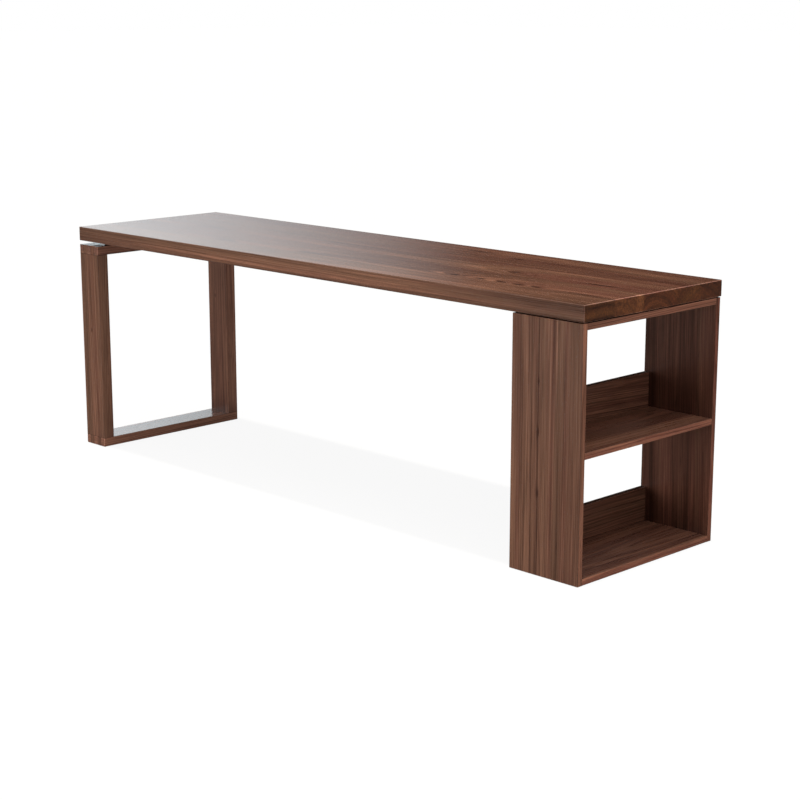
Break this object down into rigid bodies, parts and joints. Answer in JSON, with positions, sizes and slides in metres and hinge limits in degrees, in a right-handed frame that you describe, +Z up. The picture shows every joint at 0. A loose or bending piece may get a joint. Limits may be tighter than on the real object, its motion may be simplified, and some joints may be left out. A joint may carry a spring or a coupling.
{
  "type": "writing desk",
  "caption": "Long walnut desk: an edge-glued top on a comb-jointed loop leg at one end and an open shelf unit at the other.",
  "frame": {"origin": "on the floor, below the middle of the tabletop", "axes": "+X along the desk towards the shelf unit, +Y towards the rear edge, +Z up"},
  "size_m": [2.2, 0.59, 0.75],
  "materials": {
    "walnut_top": "satin oiled walnut, grain along the desk",
    "walnut_leg": "satin oiled walnut, grain along each post and rail",
    "walnut_shelf": "satin oiled walnut, grain along each panel",
    "dark_spacer": "dark stained batten and sheet, matt",
    "beech_biscuit": "pressed beech",
    "zinc_steel": "zinc plated",
    "brass_insert": "plain brass",
    "dark_rubber": "dark rubber, matt"
  },
  "bodies": {
    "root": {"top_board_1": "walnut_top", "top_board_2": "walnut_top", "top_board_3": "walnut_top", "top_board_4": "walnut_top", "top_board_5": "walnut_top", "leg_front_post": "walnut_leg", "leg_rear_post": "walnut_leg", "leg_top_rail": "walnut_leg", "leg_bottom_rail": "walnut_leg", "shelf_front_side": "walnut_shelf", "shelf_rear_side": "walnut_shelf", "shelf_top_panel": "walnut_shelf", "shelf_middle_panel": "walnut_shelf", "shelf_bottom_panel": "walnut_shelf", "shelf_lower_stop": "walnut_shelf", "shelf_upper_stop": "walnut_shelf", "leg_spacer": "dark_spacer", "shelf_spacer": "dark_spacer", "case_biscuits": "beech_biscuit", "leg_bolts": "zinc_steel", "shelf_bolts": "zinc_steel", "leg_inserts": "brass_insert", "shelf_inserts": "brass_insert", "floor_pads": "dark_rubber"}
  },
  "joints": []
}
